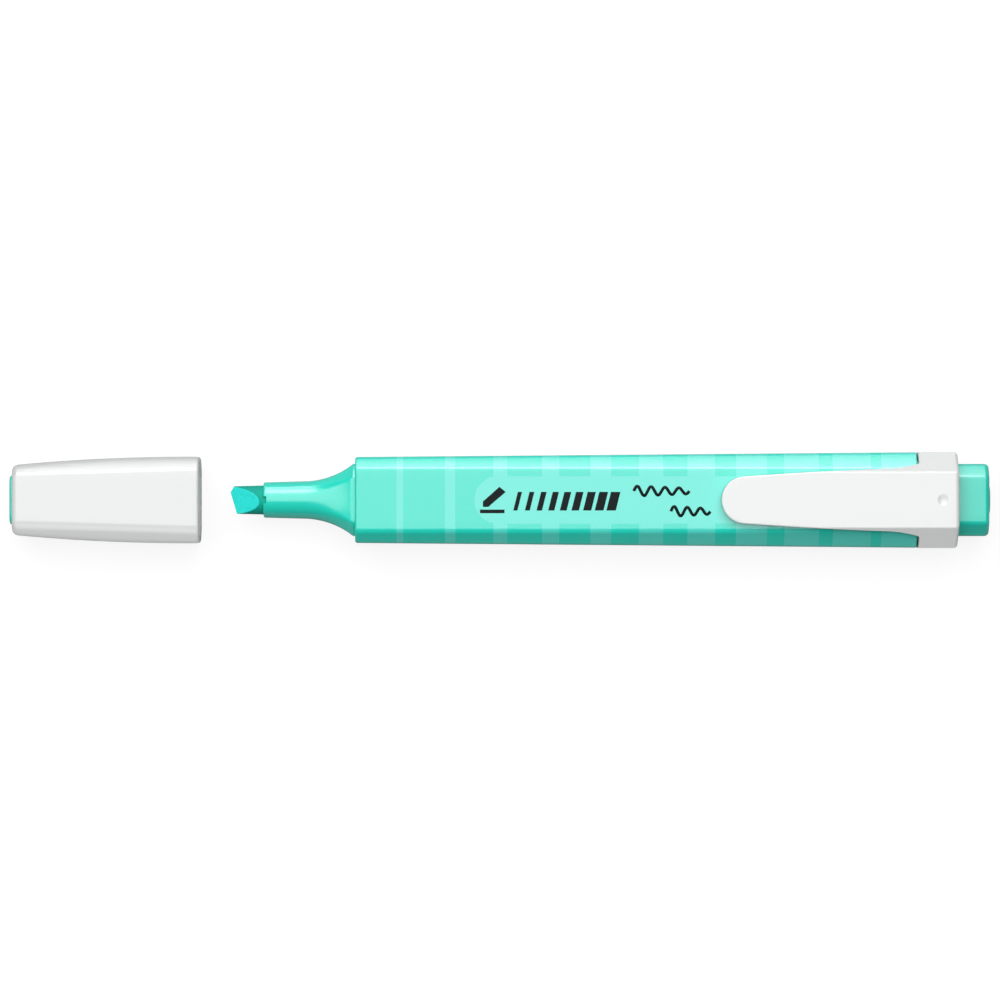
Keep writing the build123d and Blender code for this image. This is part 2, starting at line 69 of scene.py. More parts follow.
# ---------------------------------------------------------------------------------------------------
# The barrel: an injection-moulded tube of turquoise polypropylene, flat and eight-sided, wider towards
# its rear. Behind it a thinner tail carries the collar. Two fins inside keep the ink reservoir centred.
# Pale bands that widen towards the rear, and a pale label panel, are pad-printed on it.
# ---------------------------------------------------------------------------------------------------
MM = 0.001
barrel_low, barrel_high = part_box("barrel")
shoulder = barrel_low.x
axis_z = (barrel_low.z + barrel_high.z) / 2
barrel_height = barrel_high.z - barrel_low.z
barrel_rear_width = barrel_high.y - barrel_low.y
barrel_front_width = 14.4 * MM
barrel_face_width = 10.6 * MM
barrel_length = 94.0 * MM
barrel_edge_radius = 1.4 * MM
barrel_rim_chamfer = 0.25 * MM
barrel_rear_chamfer = 0.12 * MM
barrel_stations = 24
bore_width = 11.6 * MM
bore_height = 8.2 * MM
bore_bevel = 1.7 * MM
bore_radius = 0.9 * MM
tail_wall = 0.85 * MM
fin_thickness = 0.8 * MM
fin_root = 0.2 * MM
fin_gap = 0.15 * MM
reservoir_low, reservoir_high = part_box("ink_reservoir")
bevel_growth = 2 - sqrt(2)


def eight_sided(width, height, bevel, radius):
    """Outline of a flat eight-sided section with rounded corners, as (y, z) points round its centre."""
    corner_steps = 4
    flat_steps = {0: 3, 45: 2, 90: 6, 135: 2}
    corners = [(width / 2, height / 2 - bevel), (width / 2 - bevel, height / 2)]
    corners += [(-y, z) for y, z in reversed(corners)]
    corners += [(-y, -z) for y, z in corners]
    setback = radius / cos(radians(22.5))
    arcs = []
    for number, (y, z) in enumerate(corners):
        middle = radians(45 * number + 22.5)
        centre_y, centre_z = y - setback * cos(middle), z - setback * sin(middle)
        turns = [radians(45 * (number + step / corner_steps)) for step in range(corner_steps + 1)]
        arcs.append([(centre_y + radius * cos(turn), centre_z + radius * sin(turn)) for turn in turns])
    outline = []
    for number, arc in enumerate(arcs):
        outline += arc
        steps = flat_steps[45 * (number + 1) % 180]
        (y0, z0), (y1, z1) = arc[-1], arcs[(number + 1) % 8][0]
        outline += [
            (y0 + (y1 - y0) * step / steps, z0 + (z1 - z0) * step / steps) for step in range(1, steps)
        ]
    return outline


def inset_outline(width, height, bevel, radius, inset):
    """The same outline with a margin taken off all round."""
    tight = 0.05 * MM
    return eight_sided(
        width - 2 * inset, height - 2 * inset, bevel - bevel_growth * inset, max(radius - inset, tight)
    )


def barrel_outline(place, inset=0.0):
    width = barrel_front_width + (barrel_rear_width - barrel_front_width) * (place - shoulder) / barrel_length
    bevel = (width - barrel_face_width) / 2
    return inset_outline(width, barrel_height, bevel, barrel_edge_radius, inset)


def bore_outline(margin=0.0):
    """Inside shape of the barrel, or that shape grown by a margin."""
    bevel = bore_bevel + bevel_growth * margin
    return eight_sided(bore_width + 2 * margin, bore_height + 2 * margin, bevel, bore_radius)


def ring(place, outline):
    """An outline stood across the pen's axis at this place along it."""
    return [Vector((place, y, axis_z + z)) for y, z in outline]


def skin_over(mould, rings, tube=False):
    """Add faces over a row of rings. A tube's last ring joins its first; any other row gets flat ends."""
    rows = [[mould.verts.new(point) for point in points] for points in rings]
    count = len(rows[0])
    pairs = list(zip(rows, rows[1:]))
    if tube:
        pairs.append((rows[-1], rows[0]))
    for row, following in pairs:
        for near in range(count):
            far = (near + 1) % count
            mould.faces.new((row[near], row[far], following[far], following[near]))
    if not tube:
        mould.faces.new(rows[0])
        mould.faces.new(rows[-1])


def add_block(mould, low, high):
    """Add a rectangular block between two corners."""
    (x0, y0, z0), (x1, y1, z1) = low, high
    corners = [mould.verts.new((x, y, z)) for x in (x0, x1) for y in (y0, y1) for z in (z0, z1)]
    for face in ((0, 1, 3, 2), (4, 6, 7, 5), (0, 4, 5, 1), (2, 3, 7, 6), (0, 2, 6, 4), (1, 5, 7, 3)):
        mould.faces.new([corners[corner] for corner in face])


def settle(piece):
    """Make what the piece's modifiers give its own mesh, and take them off."""
    depsgraph = bpy.context.evaluated_depsgraph_get()
    finished = bpy.data.meshes.new_from_object(
        piece.evaluated_get(depsgraph), preserve_all_data_layers=True, depsgraph=depsgraph
    )
    piece.modifiers.clear()
    piece.data = finished


def release(mould, name, crease=28.0):
    """Turn a mould into a piece: faces outwards, flats kept flat, and edges sharper than the crease crisp."""
    bmesh.ops.recalc_face_normals(mould, faces=mould.faces)
    mesh = bpy.data.meshes.new(name)
    mould.to_mesh(mesh)
    mould.free()
    mesh.shade_smooth()
    mesh.set_sharp_from_angle(angle=radians(crease))
    piece = bpy.data.objects.new(name, mesh)
    bpy.context.scene.collection.objects.link(piece)
    flats = piece.modifiers.new("flats", "WEIGHTED_NORMAL")
    flats.keep_sharp = True
    flats.weight = 100
    settle(piece)
    return piece


def colour(red, green, blue):
    """A colour given as on a screen, 0 to 255, turned into the light it stands for."""
    return tuple((part / 255) ** 2.2 for part in (red, green, blue)) + (1.0,)


class Value:
    """A quantity that varies over a surface: a shader socket whose maths reads as arithmetic."""

    def __init__(self, finish, socket):
        self.finish = finish
        self.socket = socket

    def maths(self, operation, *terms):
        return self.finish.node("ShaderNodeMath", {"operation": operation}, dict(enumerate(terms)))

    def __add__(self, other):
        return self.maths("ADD", self, other)

    __radd__ = __add__

    def __sub__(self, other):
        return self.maths("SUBTRACT", self, other)

    def __rsub__(self, other):
        return self.maths("SUBTRACT", other, self)

    def __mul__(self, other):
        return self.maths("MULTIPLY", self, other)

    __rmul__ = __mul__

    def __truediv__(self, other):
        return self.maths("DIVIDE", self, other)

    def __pow__(self, other):
        return self.maths("POWER", self, other)

    def __abs__(self):
        return self.maths("ABSOLUTE", self)

    def __round__(self):
        return self.maths("ROUND", self)

    def at_least(self, other):
        return self.maths("MAXIMUM", self, other)

    def rises(self, start, end):
        """0 up to start, 1 from end, and a smooth step between."""
        limits = {"Value": self, "From Min": start, "From Max": end}
        return self.finish.node("ShaderNodeMapRange", {"interpolation_type": "SMOOTHSTEP"}, limits)


class Finish:
    """A material being mixed. node() adds one shader node, and coat() feeds the surface itself."""

    def __init__(self, name, constants):
        self.material = bpy.data.materials.new(name)
        self.material.use_nodes = True
        self.tree = self.material.node_tree
        self.surface = self.tree.nodes["Principled BSDF"]
        for socket, value in constants.items():
            self.surface.inputs[socket].default_value = value
        self.position = self.node("ShaderNodeTexCoord", {}, {}, "Object")

    def feed(self, socket, value):
        if isinstance(value, Value):
            self.tree.links.new(value.socket, socket)
        else:
            socket.default_value = value

    def node(self, kind, settings, sockets, output=0):
        """Add a node: its type, its settings, the values or links of its sockets, and the output wanted."""
        made = self.tree.nodes.new(kind)
        for name, value in settings.items():
            setattr(made, name, value)
        for socket, value in sockets.items():
            self.feed(made.inputs[socket], value)
        return Value(self, made.outputs[output])

    def axis(self, letter):
        return self.node("ShaderNodeSeparateXYZ", {}, {0: self.position}, letter)

    def grain(self, size, stretch=(1.0, 1.0, 1.0), detail=2.0):
        """Smooth random texture of this feature size, from 0 to 1, drawn out along an axis by its stretch."""
        drawn_out = tuple(1 / share for share in stretch)
        place = self.node("ShaderNodeMapping", {}, {"Vector": self.position, "Scale": drawn_out})
        return self.node("ShaderNodeTexNoise", {}, {"Vector": place, "Scale": 1 / size, "Detail": detail})

    def height_above(self, place, outwards):
        """Distance outside the plane through this place, negative inside it."""
        vectors = {0: self.position, 1: outwards}
        along = self.node("ShaderNodeVectorMath", {"operation": "DOT_PRODUCT"}, vectors, "Value")
        return along - place.dot(outwards)

    def mix(self, share, first, second):
        return self.node("ShaderNodeMix", {"data_type": "RGBA"}, {0: share, 6: first, 7: second}, 2)

    def coat(self, base, roughness, relief, depth):
        """Feed the surface's colour and roughness, and its relief, which stands out by the depth given."""
        self.feed(self.surface.inputs["Base Color"], base)
        self.feed(self.surface.inputs["Roughness"], roughness)
        bump = self.node("ShaderNodeBump", {}, {"Strength": 1.0, "Distance": depth, "Height": relief})
        self.feed(self.surface.inputs["Normal"], bump)


turquoise = (0.017, 0.75, 0.585, 1.0)
turquoise_clouded = (0.021, 0.785, 0.615, 1.0)
printed_turquoise = (0.10, 0.81, 0.68, 1.0)


def turquoise_plastic(name, printed=None, strength=1.0):
    """Tinted polypropylene: faint clouding from the mould's flow, a fine spark-eroded grain, a soft gloss."""
    finish = Finish(name, {"Specular IOR Level": 0.75})
    flow = finish.grain(7 * MM, stretch=(4.0, 1.0, 1.0))
    tints = [[part * strength for part in tint[:3]] + [1.0] for tint in (turquoise, turquoise_clouded)]
    base = finish.mix(flow, *tints)
    spark = finish.grain(0.11 * MM, detail=3.0)
    roughness = flow * 0.06 + 0.19
    if printed:
        ink = printed(finish)
        base = finish.mix(ink, base, printed_turquoise)
        roughness = roughness - ink * 0.04
    finish.coat(base, roughness, spark, 0.0025 * MM)
    return finish.material


band_pitch = 8.4 * MM
first_band = shoulder + 7.5 * MM
first_band_width = 1.15 * MM
band_widening = 0.58 * MM
print_edge = 0.06 * MM
label_half_height = 3.95 * MM
label_end = shoulder + 23.9 * MM
print_depth = 0.4 * MM


def bands_and_label(finish):
    """Share of pale ink: bands all round the barrel, and a round-ended panel on its clip side."""
    x, y, z = (finish.axis(letter) for letter in "XYZ")
    along = (x - first_band) / band_pitch
    number = round(along)
    half_width = (number * band_widening + first_band_width) / 2
    inside_band = half_width - abs(along - number) * band_pitch
    before_end = (label_end - x).at_least(0.0)
    from_spine = (before_end * before_end + y * y) ** 0.5
    inside_label = (label_half_height - from_spine).rises(-print_edge, print_edge)
    upper_side = z.rises(barrel_high.z - print_depth, barrel_high.z - print_depth / 2)
    return inside_band.rises(-print_edge, print_edge).at_least(inside_label * upper_side)


barrel_rear = shoulder + barrel_length
walls_start = shoulder + barrel_rim_chamfer
walls_length = barrel_rear - barrel_rear_chamfer - walls_start
stations = [walls_start + walls_length * step / barrel_stations for step in range(barrel_stations + 1)]
barrel_mould = bmesh.new()
skin_over(
    barrel_mould,
    [ring(shoulder, barrel_outline(shoulder, barrel_rim_chamfer))]
    + [ring(place, barrel_outline(place)) for place in stations]
    + [
        ring(barrel_rear, barrel_outline(barrel_rear, barrel_rear_chamfer)),
        ring(barrel_rear, bore_outline(tail_wall)),
        ring(barrel_high.x, bore_outline(tail_wall)),
        ring(barrel_high.x, bore_outline()),
    ]
    + [ring(place, bore_outline()) for place in reversed(stations)]
    + [ring(shoulder, bore_outline())],
    tube=True,
)
reservoir_radius = (reservoir_high.z - reservoir_low.z) / 2
for side in (-1, 1):
    fin_edges = sorted((side * (reservoir_radius + fin_gap), side * (bore_width / 2 + fin_root)))
    add_block(
        barrel_mould,
        (reservoir_low.x, fin_edges[0], axis_z - fin_thickness / 2),
        (reservoir_high.x, fin_edges[1], axis_z + fin_thickness / 2),
    )
barrel = release(barrel_mould, "barrel_shell")
barrel.data.materials.append(turquoise_plastic("banded_turquoise", printed=bands_and_label))
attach(barrel, "pen")
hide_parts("barrel")

# ---------------------------------------------------------------------------------------------------
# The ink reservoir: a rod of polyester fibre that holds the ink, wrapped in clear film. It is closed in
# the barrel, so the modelled pieces stay and get their own finishes.
# ---------------------------------------------------------------------------------------------------
wadding = Finish("inked_wadding", {"Specular IOR Level": 0.2})
fibres = wadding.grain(0.25 * MM, stretch=(40.0, 1.0, 1.0), detail=4.0)
soaked = wadding.mix(fibres, colour(40, 205, 185), colour(120, 235, 220))
wadding.coat(soaked, 0.9 - fibres * 0.1, fibres, 0.05 * MM)
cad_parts["ink_reservoir"].data.materials.clear()
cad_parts["ink_reservoir"].data.materials.append(wadding.material)

film = Finish("clear_film", {"Transmission Weight": 0.85, "IOR": 1.5})
wrinkles = film.grain(3 * MM, stretch=(5.0, 1.0, 1.0), detail=3.0)
clear = film.mix(wrinkles, colour(236, 246, 245), colour(250, 253, 252))
film.coat(clear, wrinkles * 0.1 + 0.08, wrinkles, 0.05 * MM)
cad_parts["reservoir_film"].data.materials.clear()
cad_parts["reservoir_film"].data.materials.append(film.material)

# ---------------------------------------------------------------------------------------------------
# The neck: the nib holder, moulded in the barrel's turquoise. A thin drafted tube grips the nib, flares
# out to the rim that the cap closes over, and goes on as a hollow plug that is pressed into the barrel.
# A slot and four grooves at its mouth let air in past the nib.
# ---------------------------------------------------------------------------------------------------
neck_low, neck_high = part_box("neck")
post_lip = 0.25 * MM
post_width = bore_width + 2 * post_lip
post_height = bore_height + 2 * post_lip
post_bevel = 2.1 * MM
post_radius = 1.1 * MM
land = 0.4 * MM
flare_length = 8.5 * MM
tube_mouth_radius = 2.97 * MM
tube_root_radius = 3.14 * MM
tube_lip_radius = 0.3 * MM
tube_root = shoulder - land - flare_length
nib_hole_radius = 2.47 * MM
hole_chamfer = 0.12 * MM
neck_core_depth = 6.4 * MM
neck_core_mouth_radius = nib_hole_radius + 0.25 * MM
plug_slip = 0.05 * MM
plug_wall = 1.1 * MM
flare_stations = 16
tube_stations = 6
vent_width = 1.2 * MM
vent_depth = 0.5 * MM
vent_margin = 0.1 * MM
rim_sink = 0.02 * MM
groove_radius = 0.25 * MM
groove_sides = 16


def round_outline(radius, radius_z=None):
    """Circle or ellipse with its points spread to match those of the eight-sided outlines."""
    count = len(bore_outline())
    side_flat_middle = 1.5
    turns = [2 * pi * (number + side_flat_middle) / count for number in range(count)]
    return [(radius * cos(turn), (radius_z or radius) * sin(turn)) for turn in turns]


def between(first, second, share):
    """Outline part of the way from one outline to another."""
    return [
        (y0 + (y1 - y0) * share, z0 + (z1 - z0) * share) for (y0, z0), (y1, z1) in zip(first, second)
    ]


def quarter_turn(steps=4):
    """Sine and versine over a quarter turn, for rounding an end: how far along it, and how far in."""
    turns = [step * pi / 2 / steps for step in range(steps + 1)]
    return [(sin(turn), 1 - cos(turn)) for turn in turns]


def flare_outline(share):
    """Outline of the flare, which leaves the tube tangent to it and opens out along an arc."""
    rise = post_width / 2 - tube_root_radius
    arc_radius = (rise**2 + flare_length**2) / (2 * rise)
    grown = (arc_radius - sqrt(arc_radius**2 - (share * flare_length) ** 2)) / rise
    rim = eight_sided(post_width, post_height, post_bevel, post_radius)
    return between(round_outline(tube_root_radius), rim, grown)


tube_mouth = neck_low.x
lip = [
    ring(
        tube_mouth + tube_lip_radius * (1 - along),
        round_outline(tube_mouth_radius - tube_lip_radius * inwards),
    )
    for along, inwards in reversed(quarter_turn())
]
vent_foot = tube_mouth + vent_depth + vent_margin
vent_foot_share = (vent_foot - tube_mouth) / (tube_root - tube_mouth)
vent_foot_radius = tube_mouth_radius + (tube_root_radius - tube_mouth_radius) * vent_foot_share
core_margin = -plug_slip - plug_wall
neck_mould = bmesh.new()
skin_over(
    neck_mould,
    lip
    + [
        ring(
            vent_foot + (tube_root - vent_foot) * step / tube_stations,
            round_outline(vent_foot_radius + (tube_root_radius - vent_foot_radius) * step / tube_stations),
        )
        for step in range(tube_stations + 1)
    ]
    + [
        ring(tube_root + flare_length * step / flare_stations, flare_outline(step / flare_stations))
        for step in range(1, flare_stations + 1)
    ]
    + [
        ring(shoulder - rim_sink, eight_sided(post_width, post_height, post_bevel, post_radius)),
        ring(shoulder - rim_sink, bore_outline(-plug_slip)),
        ring(neck_high.x, bore_outline(-plug_slip)),
        ring(neck_high.x, bore_outline(core_margin)),
        ring(shoulder, bore_outline(core_margin)),
        ring(shoulder - neck_core_depth, round_outline(neck_core_mouth_radius)),
        ring(shoulder - neck_core_depth, round_outline(nib_hole_radius)),
        ring(tube_mouth + hole_chamfer, round_outline(nib_hole_radius)),
        ring(tube_mouth, round_outline(nib_hole_radius + hole_chamfer)),
    ],
    tube=True,
)
neck = release(neck_mould, "neck_holder")

cutter_mould = bmesh.new()
slot_reach = 2 * tube_root_radius
groove_end = shoulder - neck_core_depth - vent_depth
add_block(
    cutter_mould,
    (tube_mouth - vent_depth, -vent_width / 2, axis_z - slot_reach),
    (tube_mouth + vent_depth, vent_width / 2, axis_z + slot_reach),
)
for quarter in range(4):
    turn = radians(45 + 90 * quarter)
    centre = Vector((0, nib_hole_radius * cos(turn), axis_z + nib_hole_radius * sin(turn)))
    rounds = [2 * pi * side / groove_sides for side in range(groove_sides)]
    circle = [Vector((0, groove_radius * cos(angle), groove_radius * sin(angle))) for angle in rounds]
    ends = [centre + Vector((place, 0, 0)) for place in (tube_mouth - vent_depth, groove_end)]
    skin_over(cutter_mould, [[end + point for point in circle] for end in ends])
cutter = release(cutter_mould, "vent_cutter")
vents = neck.modifiers.new("vents", "BOOLEAN")
vents.operation = "DIFFERENCE"
vents.solver = "EXACT"
vents.object = cutter
settle(neck)
bpy.data.objects.remove(cutter)
neck.data.materials.clear()
neck.data.materials.append(turquoise_plastic("neck_turquoise"))
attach(neck, "pen")
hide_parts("neck")

# ---------------------------------------------------------------------------------------------------
# The nib: a rod of bonded polyester fibre, ground to a slanted chisel with one corner taken off, and
# soaked with turquoise ink. It runs back through the neck into the reservoir. The ground faces show
# open fibre, paler than the rod's sealed skin.
# ---------------------------------------------------------------------------------------------------
nib_low, nib_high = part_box("nib")
nib_radius = (nib_high.z - nib_low.z) / 2
nib_taper = 0.15 * MM
nib_tip_radius = nib_radius - nib_taper
nib_point_offset = 1.28 * MM
nib_edge_thickness = 0.8 * MM
nib_edge_slant = radians(16.7)
nib_corner_angle = radians(31)
nib_facet_angle = radians(26.5)
nib_rounding = 0.13 * MM
nib_stations = 8
nib_crisp_angle = radians(12)
ground_end = tube_mouth + 2 * MM
ground_fade = (-0.12 * MM, -0.04 * MM)

nib_mould = bmesh.new()
exposed = [nib_low.x + (tube_mouth - nib_low.x) * step / nib_stations for step in range(nib_stations + 1)]
skin_over(
    nib_mould,
    [
        ring(place, round_outline(nib_tip_radius + (nib_radius - nib_tip_radius) * step / nib_stations))
        for step, place in enumerate(exposed)
    ]
    + [ring(nib_high.x, round_outline(nib_radius))],
)
edge_back = Vector((cos(nib_edge_slant), sin(nib_edge_slant), 0))
point = Vector((nib_low.x, nib_point_offset, axis_z))
grindings = [(point, -edge_back), (point, Vector((-cos(nib_corner_angle), sin(nib_corner_angle), 0)))]
for side in (-1, 1):
    half_edge = Vector((0, 0, side * nib_edge_thickness / 2))
    facet_out = half_edge.normalized() * cos(nib_facet_angle) - edge_back * sin(nib_facet_angle)
    grindings.append((point + half_edge, facet_out))
for place, outwards in grindings:
    everything = nib_mould.verts[:] + nib_mould.edges[:] + nib_mould.faces[:]
    bmesh.ops.bisect_plane(nib_mould, geom=everything, plane_co=place, plane_no=outwards, clear_outer=True)
    bmesh.ops.holes_fill(nib_mould, edges=[edge for edge in nib_mould.edges if edge.is_boundary])
bmesh.ops.recalc_face_normals(nib_mould, faces=nib_mould.faces)
ground = [
    edge
    for edge in nib_mould.edges
    if edge.calc_face_angle(0.0) > nib_crisp_angle and max(vert.co.x for vert in edge.verts) < ground_end
]
bmesh.ops.bevel(
    nib_mould, geom=ground, offset=nib_rounding, offset_type="OFFSET", segments=3, profile=0.5,
    affect="EDGES", clamp_overlap=True,
)
nib = release(nib_mould, "chisel_nib", crease=50.0)
felt = Finish("inked_fibre", {"Specular IOR Level": 0.15})
strands = felt.grain(0.09 * MM, stretch=(14.0, 1.0, 1.0), detail=4.0)
pooling = felt.grain(1.1 * MM, detail=2.0)
ink = felt.mix(strands.rises(0.3, 0.7), (0.02, 0.79, 0.69, 1.0), (0.04, 0.93, 0.87, 1.0))
ink = felt.mix(pooling.rises(0.45, 0.8) * 0.3, ink, (0.012, 0.66, 0.54, 1.0))
cut_open = 0.0
for place, outwards in grindings:
    cut_open = felt.height_above(place, outwards).rises(*ground_fade).at_least(cut_open)
skin = felt.mix(strands, (0.003, 0.385, 0.29, 1.0), (0.005, 0.47, 0.36, 1.0))
ink = felt.mix(cut_open, skin, ink)
felt.coat(ink, 0.55 + strands * 0.25, strands, 0.02 * MM)
nib.data.materials.append(felt.material)
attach(nib, "pen")
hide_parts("nib")

# ---------------------------------------------------------------------------------------------------
# The end plug: moulded in turquoise and pressed into the barrel's tail. Its post stands out behind the
# collar, takes the cap while writing, and has a small oval gate boss on its end.
# ---------------------------------------------------------------------------------------------------
plug_low, plug_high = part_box("end_plug")
boss_rise = 0.3 * MM
boss_half_width = 2.25 * MM
boss_half_height = 1.6 * MM
boss_chamfer = 0.12 * MM
boss_foot = 0.35 * MM
plug_end_radius = 0.75 * MM
plug_end_wall = 1.3 * MM
plug_rib_thickness = 1.0 * MM

post_end = plug_high.x - boss_rise
plug_mould = bmesh.new()
skin_over(
    plug_mould,
    [
        ring(post_end - plug_end_wall, bore_outline(core_margin)),
        ring(plug_low.x, bore_outline(core_margin)),
        ring(plug_low.x, bore_outline(-plug_slip)),
        ring(barrel_high.x, bore_outline(-plug_slip)),
    ]
    + [
        ring(place, eight_sided(post_width, post_height, post_bevel, post_radius))
        for place in (barrel_high.x, (barrel_high.x + post_end) / 2)
    ]
    + [
        ring(
            post_end - plug_end_radius * (1 - along),
            inset_outline(post_width, post_height, post_bevel, post_radius, plug_end_radius * inwards),
        )
        for along, inwards in quarter_turn()
    ]
    + [
        ring(post_end, round_outline(boss_half_width + boss_foot, boss_half_height + boss_foot)),
        ring(post_end + boss_rise - boss_chamfer, round_outline(boss_half_width, boss_half_height)),
        ring(plug_high.x, round_outline(boss_half_width - boss_chamfer, boss_half_height - boss_chamfer)),
    ],
)
for half_width, half_height in (
    (bore_width / 2 + core_margin + fin_root, plug_rib_thickness / 2),
    (plug_rib_thickness / 2, bore_height / 2 + core_margin + fin_root),
):
    add_block(
        plug_mould,
        (plug_low.x + fin_root, -half_width, axis_z - half_height),
        (post_end - plug_end_wall + fin_root, half_width, axis_z + half_height),
    )
plug = release(plug_mould, "end_plug_post")
# The plug's turquoise is a darker copy of the barrel's: its colours are taken at 0.85 of theirs.
plug.data.materials.append(turquoise_plastic("plug_turquoise", strength=0.85))
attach(plug, "pen")
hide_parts("end_plug")

# ---------------------------------------------------------------------------------------------------
# The collar and clip: one white moulding that is pushed over the barrel's tail. The clip springs from
# the collar's front edge, so the two modelled pieces are joined here into one mesh.
# ---------------------------------------------------------------------------------------------------
_, clip_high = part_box("clip_arm")
collar_low, collar_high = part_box("rear_collar")
weld_distance = 0.002 * MM
dimple_radius = 1.0 * MM
dimple_depth = 0.3 * MM
dimple_from_rear = 2.75 * MM
dimple_lip = 0.06 * MM
dimple_stations = 6
root_bend_length = 4.0 * MM

white_mould = bmesh.new()
for node in ("rear_collar", "clip_arm"):
    white_mould.from_mesh(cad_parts[node].data)
bmesh.ops.remove_doubles(white_mould, verts=white_mould.verts, dist=weld_distance)
dimple_hollow = dimple_radius - dimple_lip
dimple_rim_turn = 2 * atan2(dimple_depth, dimple_hollow)
dimple_sphere = dimple_hollow / sin(dimple_rim_turn)
dimple_centre = Vector((collar_high.x - dimple_from_rear, 0, clip_high.z))
coarse_dimple = [
    face
    for face in white_mould.faces
    if all((vert.co - dimple_centre).length < dimple_radius + 2 * weld_distance for vert in face.verts)
]
bmesh.ops.delete(white_mould, geom=coarse_dimple, context="FACES")
rim = sorted(
    {vert for edge in white_mould.edges if edge.is_boundary for vert in edge.verts},
    key=lambda vert: atan2(vert.co.y, vert.co.x - dimple_centre.x),
)
for step in range(dimple_stations):
    turn = dimple_rim_turn * (1 - step / dimple_stations)
    sunk = Vector((0, 0, -dimple_sphere * (cos(turn) - cos(dimple_rim_turn))))
    share = sin(turn) / sin(dimple_rim_turn)
    directions = [Vector((outer.co.x - dimple_centre.x, outer.co.y, 0)).normalized() for outer in rim]
    inner = [white_mould.verts.new(dimple_centre + way * dimple_hollow * share + sunk) for way in directions]
    for near in range(len(rim)):
        far = (near + 1) % len(rim)
        white_mould.faces.new((rim[near], rim[far], inner[far], inner[near]))
    rim = inner
white_mould.faces.new(rim)
slits = (clip_high.x, collar_low.x)
slit_faces = [
    face
    for face in white_mould.faces
    if any(all(abs(vert.co.x - slit) < weld_distance for vert in face.verts) for slit in slits)
]
bmesh.ops.delete(white_mould, geom=slit_faces, context="FACES")
bmesh.ops.bridge_loops(white_mould, edges=[edge for edge in white_mould.edges if edge.is_boundary])
moulding = release(white_mould, "collar_and_clip", crease=35.0)


def white_plastic(name):
    """Opaque white polypropylene: almost even, with a fine matt grain."""
    finish = Finish(name, {"Specular IOR Level": 0.75})
    flow = finish.grain(8 * MM, stretch=(3.0, 1.0, 1.0))
    spark = finish.grain(0.12 * MM, detail=3.0)
    base = finish.mix(flow, (0.635, 0.648, 0.642, 1.0), (0.66, 0.673, 0.667, 1.0))
    finish.coat(base, flow * 0.05 + 0.215, spark, 0.003 * MM)
    return finish.material


moulding.data.materials.clear()
moulding.data.materials.append(white_plastic("clip_white"))
root_z = (barrel_high.z + clip_high.z) / 2
root_bend_end = collar_low.x - root_bend_length
collar_low.x
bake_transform(moulding)
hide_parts("rear_collar", "clip_arm")

# ---------------------------------------------------------------------------------------------------
# The cap: a hollow white shell that tapers to its closed end, where a slot shows the inner cap's boss.
# ---------------------------------------------------------------------------------------------------
cap_low, cap_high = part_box("cap")
cap_length = cap_high.x - cap_low.x
cap_mouth_width, cap_end_width = 14.5 * MM, 11.7 * MM
cap_mouth_face, cap_end_face = 10.2 * MM, 8.4 * MM
cap_taper = 1.9 * MM
cap_bow = 0.4 * MM
cap_edge_radius = 2.2 * MM
cap_mouth_radius = 0.5 * MM
cap_end_radius = 0.9 * MM
cap_clearance = 0.1 * MM
cap_socket_depth = 6.6 * MM
cap_end_wall = 1.2 * MM
cap_bore_end = (9.4 * MM, 7.612 * MM, 1.4 * MM, 0.9 * MM)
cap_stations = 16
window_half_width = 4.15 * MM
window_half_height = 2.75 * MM
window_radius = 1.65 * MM
vent_half_width = 1.0 * MM
vent_half_height = 3.3 * MM


def cap_outline(place, inset=0.0):
    """Outside of the cap: it tapers towards its closed end, and its sides bow out a little."""
    share = (cap_high.x - place) / cap_length
    bow = 4 * cap_bow * share * (1 - share)
    width = cap_mouth_width + (cap_end_width - cap_mouth_width) * share
    face = cap_mouth_face + (cap_end_face - cap_mouth_face) * share
    height = barrel_height - cap_taper * share
    return inset_outline(width + 2 * bow, height, (width - face) / 2 + bow, cap_edge_radius, inset)


def socket_outline():
    return eight_sided(
        post_width + 2 * cap_clearance,
        post_height + 2 * cap_clearance,
        post_bevel + bevel_growth * cap_clearance,
        post_radius,
    )


def rounded_oblong(half_width, half_height, radius):
    """Oblong with round corners, as an eight-sided outline whose bevels have nearly closed up."""
    nearly_round = 0.97
    return eight_sided(2 * half_width, 2 * half_height, radius * bevel_growth, radius * nearly_round)


cap_mouth_start = cap_high.x - cap_mouth_radius
cap_side_length = cap_mouth_start - (cap_low.x + cap_end_radius)
cap_side_places = [cap_mouth_start - cap_side_length * step / cap_stations for step in range(1, cap_stations)]
cap_end_turns = [(cap_low.x + cap_end_radius * (1 - along), inwards) for along, inwards in quarter_turn(6)]
cap_wall_start = cap_low.x + cap_end_wall
cap_mould = bmesh.new()
skin_over(
    cap_mould,
    [
        ring(cap_high.x - cap_mouth_radius * (1 - along), cap_outline(cap_high.x, cap_mouth_radius * inwards))
        for along, inwards in reversed(quarter_turn())
    ]
    + [ring(place, cap_outline(place)) for place in cap_side_places]
    + [ring(place, cap_outline(place, cap_end_radius * inwards)) for place, inwards in cap_end_turns]
    + [
        ring(cap_low.x, rounded_oblong(window_half_width, window_half_height, window_radius)),
        ring(cap_wall_start, rounded_oblong(window_half_width, window_half_height, window_radius)),
        ring(cap_wall_start, eight_sided(*cap_bore_end)),
        ring(cap_high.x - cap_socket_depth, socket_outline()),
        ring(cap_high.x - cap_mouth_radius / 3, socket_outline()),
    ],
    tube=True,
)
cap = release(cap_mould, "cap_shell")
notch_mould = bmesh.new()
add_block(
    notch_mould,
    (cap_low.x - cap_end_wall, -vent_half_width, axis_z - vent_half_height),
    (cap_wall_start + cap_clearance, vent_half_width, axis_z + vent_half_height),
)
notch = release(notch_mould, "vent_notch")
